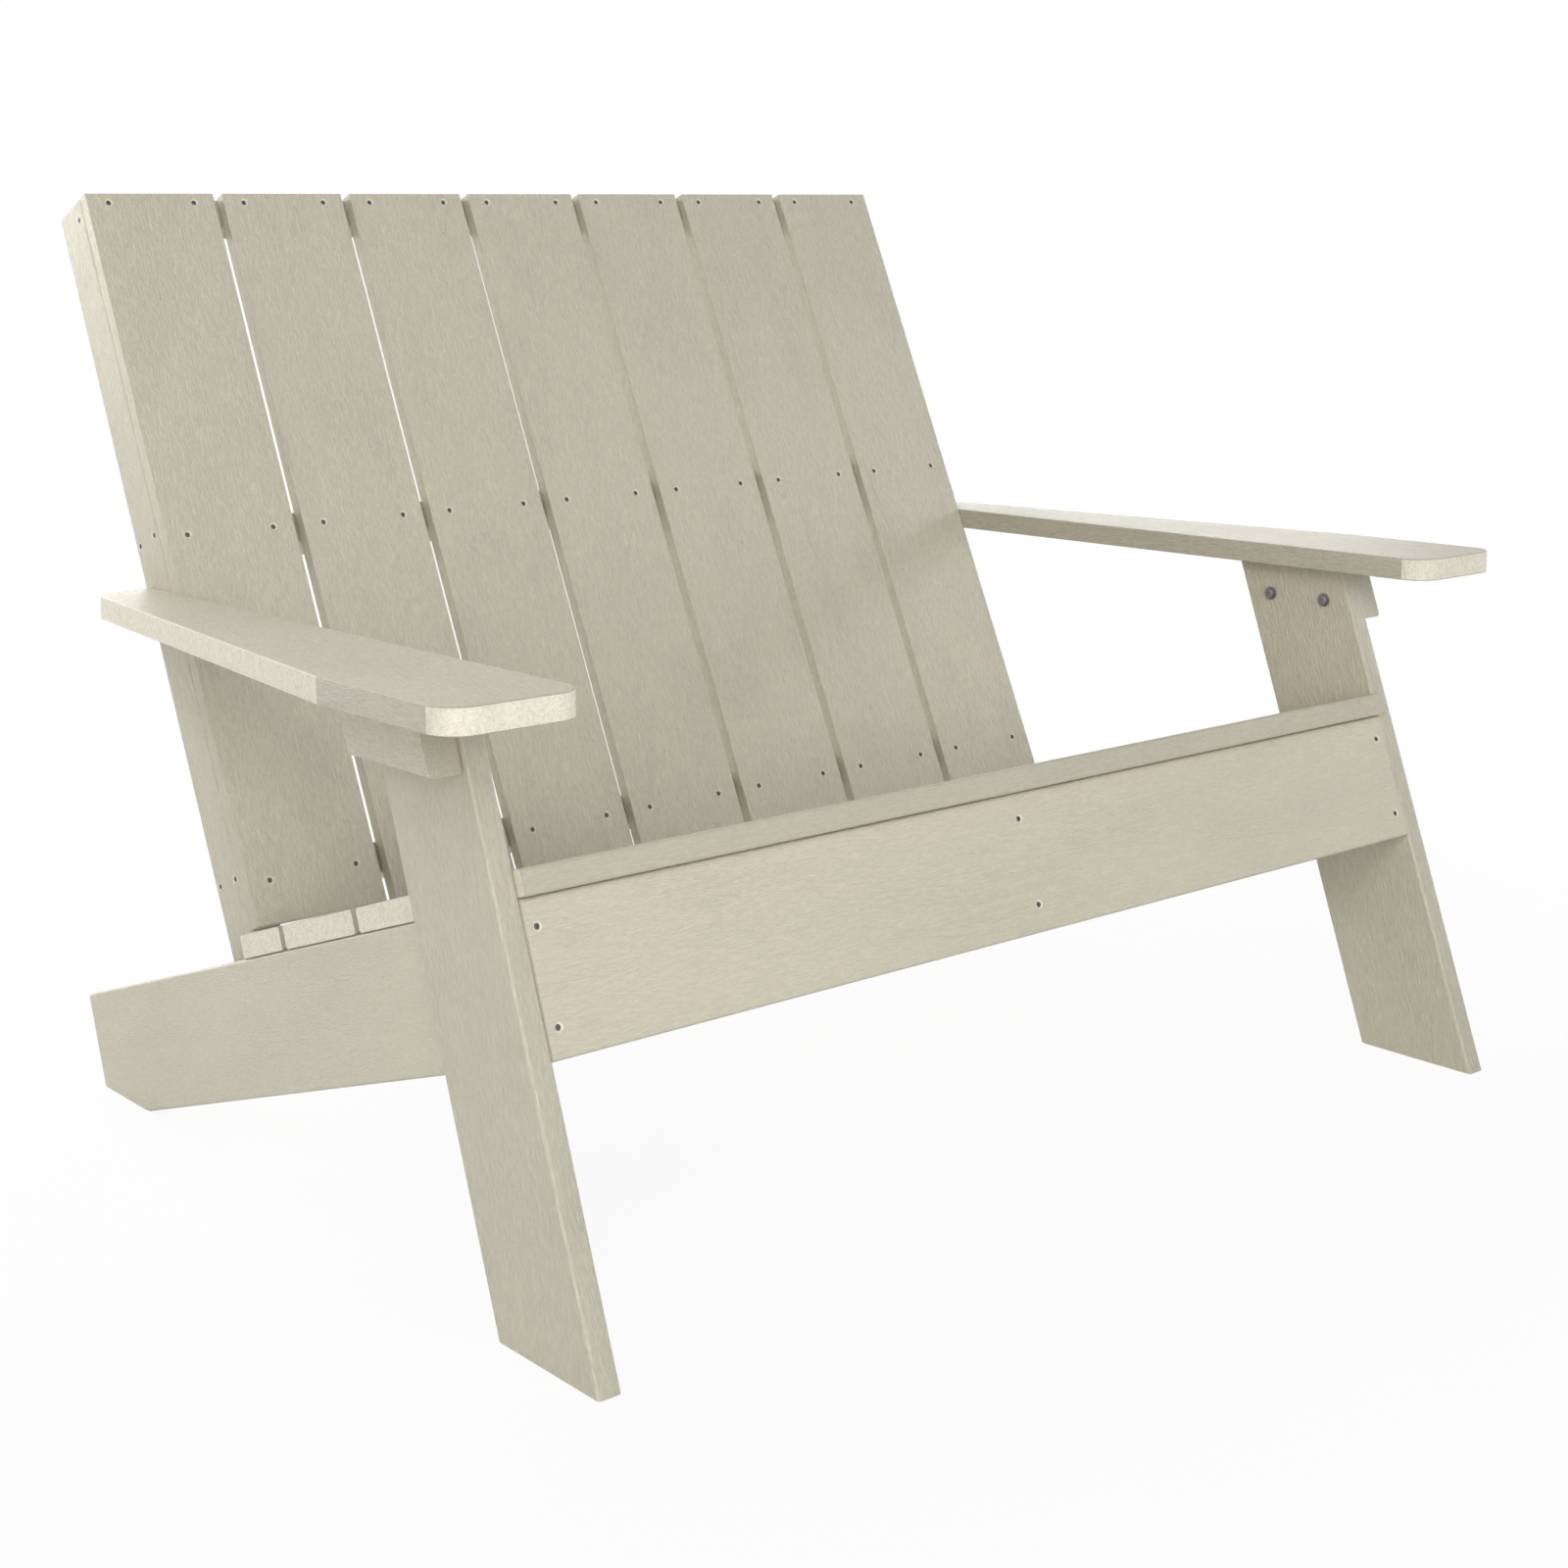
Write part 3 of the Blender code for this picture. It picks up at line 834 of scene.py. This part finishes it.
# %% Make the lumber
skin_colour = (0.605, 0.565, 0.450, 1)
furrow_colour = (0.400, 0.372, 0.297, 1)
core_colour = (0.760, 0.718, 0.600, 1)
pore_colour = (0.610, 0.572, 0.467, 1)
# Painted highlight: the pale colour that some edges are blended towards.
painted_highlight_colour = (0.880, 0.840, 0.730, 1)
base_tone, line_tone, cloud_tone = 0.27, 0.20, 0.30
# The narrow tone also darkens the blocks' sawn ends as painted shade; the last share sets how far edges are
# painted pale as a highlight.
narrow_and_shade_tone, rim_tone, painted_highlight_share = 0.42, 0.50, 0.55
swirl_tone = 0.45
furrow_slope = (0.62, 0.38)
skin_roughness, furrow_roughness, core_roughness = 0.42, 0.12, 0.25


def lumber(name, grain, angle, length, contrast, relief):
    """Plastic lumber with furrows of one length along one axis of a raked frame."""
    made = Finish(bpy.data.materials.new(name))
    place = made.node("ShaderNodeTexCoord", output="Object")
    cut = made.node("ShaderNodeAttribute", {"attribute_name": "cut"}, output="Fac")
    past = [made.maths("GREATER_THAN", cut, (low + high) / 2) for low, high in zip(marks, marks[1:])]
    narrow_and_shade_face, rim_face, painted_highlight_face = (past[step] - past[step + 1] for step in range(3))
    sawn_face = past[3]

    def cells(across, length):
        """Places in the frame, counted in cells that are longer along the grain."""
        size = [across, across, across]
        size[grain] = length
        return made.node("ShaderNodeMapping", {"vector_type": "TEXTURE"},
                         {"Vector": place, "Rotation": (-angle, 0, 0), "Scale": size})

    def noise(vector, detail, roughness=0.5, distortion=0):
        """Values that wander from cell to cell."""
        return made.node("ShaderNodeTexNoise", None, {
            "Vector": vector, "Scale": 1, "Detail": detail, "Roughness": roughness,
            "Distortion": distortion})

    def contours(value, turns, width):
        """Thin lines, like those of a map, where the sine of a value is near zero."""
        rise = made.maths("ABSOLUTE", made.maths("SINE", value * turns))
        return 1 - made.ramp(rise, 0, width)

    furrows = noise(cells(across=0.0014, length=length), detail=2, distortion=0.7)
    flecks = noise(cells(across=0.0013, length=length * 0.4), detail=1, distortion=0.4)
    clouds = noise(cells(across=0.060, length=0.160), detail=2)
    figure = noise(cells(across=0.030, length=0.420), detail=1, roughness=0.4)
    mottle = noise(cells(across=0.0070, length=0.0070), detail=2, distortion=2.5)
    pores = noise(cells(across=0.0013, length=0.0013), detail=1)

    lines = contours(figure, turns=70, width=0.30) * made.ramp(clouds, 0.50, 0.62)
    swirls = contours(mottle, turns=24, width=0.45)
    depth = made.ramp(furrows, *furrow_slope) * 0.5 + made.ramp(flecks, *furrow_slope) * 0.5
    tone = (depth - 0.5) * contrast + lines * line_tone + (clouds - 0.5) * cloud_tone + base_tone
    # The narrow mark darkens the narrow sides, and the blocks' sawn ends as painted shade.
    tone = tone + narrow_and_shade_face * narrow_and_shade_tone + rim_face * rim_tone
    skin = made.blend(tone, skin_colour, furrow_colour)
    # Painted highlight: faces with the pale edge mark are blended towards a pale colour.
    skin = made.blend(painted_highlight_face * painted_highlight_share, skin, painted_highlight_colour)
    speck = made.ramp(mottle * 0.65 + pores * 0.35, 0.32, 0.62)
    core = made.blend(speck - swirls * swirl_tone, pore_colour, core_colour)
    made.plug(made.shader.inputs["Base Color"], made.blend(sawn_face, skin, core))
    dullness = skin_roughness + depth * furrow_roughness + sawn_face * core_roughness
    made.plug(made.shader.inputs["Roughness"], dullness)

    skin_height = (1 - depth) * (1 - narrow_and_shade_face * 0.5) - lines * 0.3
    core_height = mottle * 0.5 + pores * 0.5
    height = skin_height * (1 - sawn_face) + core_height * sawn_face
    bump = made.node("ShaderNodeBump", None, {"Height": height, "Strength": 0.8, "Distance": relief})
    made.plug(made.shader.inputs["Normal"], bump)
    made.shader.inputs["Specular IOR Level"].default_value = 0.4
    return made.owner


materials = {}
for name, grain, angle, length, contrast, relief in (
        ("back_lumber", 2, back_angle, 0.015, 0.48, 0.0008),
        ("leg_lumber", 2, leg_angle, 0.020, 0.44, 0.0008),
        ("stringer_lumber", 1, seat_angle, 0.012, 0.24, 0.0003),
        ("level_lumber", 1, 0, 0.016, 0.45, 0.0006),
        ("cross_lumber", 0, 0, 0.016, 0.30, 0.0004)):
    materials[name] = lumber(name, grain, angle, length, contrast, relief)
print("lumber nodes:", len(materials["back_lumber"].node_tree.nodes))

# %% [markdown]
# ## Dull stainless steel
#
# The screws and bolts have a dark, slightly blotched surface. One even grey would do from
# afar, but blotches that change both the tone and the roughness a little keep a flat head
# from looking like a hole.

# %% Make the steel
steel_roughness = 0.45
blotch_roughness = 0.2


def steel(name, dark, light):
    """Dull metal, blotched between two tones."""
    made = Finish(bpy.data.materials.new(name))
    place = made.node("ShaderNodeTexCoord", output="Object")
    blotches = made.node("ShaderNodeTexNoise", None, {"Vector": place, "Scale": 900, "Detail": 3})
    made.plug(made.shader.inputs["Base Color"], made.blend(blotches, dark, light))
    made.plug(made.shader.inputs["Roughness"], steel_roughness + blotches * blotch_roughness)
    made.shader.inputs["Metallic"].default_value = 1
    return made.owner


materials["bolt_steel"] = steel("bolt_steel", (0.20, 0.20, 0.205, 1), (0.32, 0.32, 0.32, 1))
materials["screw_steel"] = steel("screw_steel", (0.09, 0.09, 0.09, 1), (0.15, 0.15, 0.15, 1))
print("materials:", ", ".join(materials))

# %% [markdown]
# ## Dressing the pieces
#
# Each board, bolt and washer gets its material and takes the place of its plain solid. The
# wood screws have no solid of their own, so they only ride along, one piece for each group.
# Nothing on the loveseat moves, so everything rides on the one body.

# %% Dress the pieces and hang them on the frame
def dress(piece, material):
    """Gives a piece its only material."""
    piece.data.materials.clear()
    piece.data.materials.append(materials[material])


for node, (piece, material) in pieces.items():
    dress(piece, material)
    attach(piece, "root")
    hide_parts(node)
    "steel" if material == "bolt_steel" else "lumber"
for piece in screw_groups:
    dress(piece, "screw_steel")
    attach(piece, "root")
print("pieces:", len(pieces) + len(screw_groups), "nodes replaced:", len(pieces), "of", len(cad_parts))

# %% [markdown]
# ## Floor, light and background
#
# The picture was taken on white. A pale floor takes the soft shadow and fades to white
# farther out. The world is white to the camera and in reflections but dimmer as a light, so
# the boards keep their colour.
#
# Broad lamps do what a studio's white walls did. Three in front and one on the right light
# the faces. Four behind light the tops and the rear, and the one at the rear left also
# reaches the slats' edges through the gaps. A small lamp close by rims the left arm and the
# side rail.

# %% Lay the floor
floor_size = 40
floor_drop = 0.0005
fade_start, fade_end = 0.9, 2.2
near_white = 0.92

bpy.ops.object.select_all(action="DESELECT")
bpy.ops.mesh.primitive_plane_add(size=floor_size, location=(0, 0, -floor_drop))
floor = bpy.context.object
floor.name = "floor"


def seen(made):
    """1 where the camera, a reflection or glass looks, 0 for light on its way."""
    ways = [made.node("ShaderNodeLightPath", output=way)
            for way in ("Is Camera Ray", "Is Glossy Ray", "Is Transmission Ray")]
    return made.maths("MAXIMUM", made.maths("MAXIMUM", ways[0], ways[1]), ways[2])


ground = Finish(bpy.data.materials.new("white_floor"))
ground.shader.inputs["Base Color"].default_value = (0.80, 0.80, 0.80, 1)
ground.shader.inputs["Roughness"].default_value = 0.9
lit = Field(ground, ground.shader.outputs["BSDF"])
white = ground.node("ShaderNodeEmission", None, {"Color": (1, 1, 1, 1), "Strength": 1})
spot = ground.node("ShaderNodeTexCoord", output="Object")
away = ground.node("ShaderNodeVectorMath", {"operation": "LENGTH"}, {0: spot}, output=1)
share = ground.ramp(away, fade_start, fade_end) * (1 - near_white) + near_white
mixed = ground.node("ShaderNodeMixShader", None, {0: seen(ground) * share, 1: lit, 2: white})
ground.plug(ground.tree.nodes["Material Output"].inputs["Surface"], mixed)
floor.data.materials.append(ground.owner)
print("floor nodes:", len(ground.tree.nodes))

# %% Light it
sky_level = 0.15

world = bpy.data.worlds.new("white_world")
bpy.context.scene.world = world
sky = Finish(world, "Background")
sky.plug(sky.shader.inputs["Strength"], seen(sky) * (1 - sky_level) + sky_level)
sky.shader.inputs["Color"].default_value = (1, 1, 1, 1)


def lamp(name, place, target, width, height, watts):
    """Area lamp that looks at a point."""
    data = bpy.data.lights.new(name, "AREA")
    data.shape = "RECTANGLE"
    data.size, data.size_y = width, height
    data.energy = watts
    thing = bpy.data.objects.new(name, data)
    bpy.context.scene.collection.objects.link(thing)
    way = Vector(target) - Vector(place)
    thing.matrix_world = Matrix.Translation(place) @ way.to_track_quat("-Z", "Y").to_matrix().to_4x4()
    thing.visible_camera = False


middle = (0, 0, 0.45)
rail_top = (-0.6, 0.42, 0.88)
lamp("key", (-2.8, -2.8, 3.0), middle, width=2.4, height=2.0, watts=76)
lamp("front_fill", (0, -4.2, 1.6), middle, width=2.4, height=1.6, watts=51)
lamp("low_fill", (-3.2, -3.2, 1.0), middle, width=2.4, height=1.6, watts=47)
lamp("left_wide", (-3.6, 3.0, 1.5), middle, width=2.0, height=1.6, watts=18)
lamp("right_fill", (4.0, 0, 1.0), middle, width=2.4, height=1.6, watts=60)
lamp("rear_high", (0, 2.8, 3.2), middle, width=2.4, height=2.0, watts=54)
lamp("rear_strip", (0, 4.5, 1.05), middle, width=6.0, height=1.1, watts=110)
lamp("rear_right", (3.5, 3.5, 1.05), middle, width=3.0, height=1.0, watts=60)
lamp("rear_left", (-1.0, 0.75, 1.25), rail_top, width=0.3, height=0.3, watts=3)
lamps = [thing for thing in bpy.context.scene.objects if thing.type == "LIGHT"]
print("lamps:", len(lamps), "watts:", round(sum(thing.data.energy for thing in lamps)))
bpy.context.scene.view_settings.view_transform = "Standard"
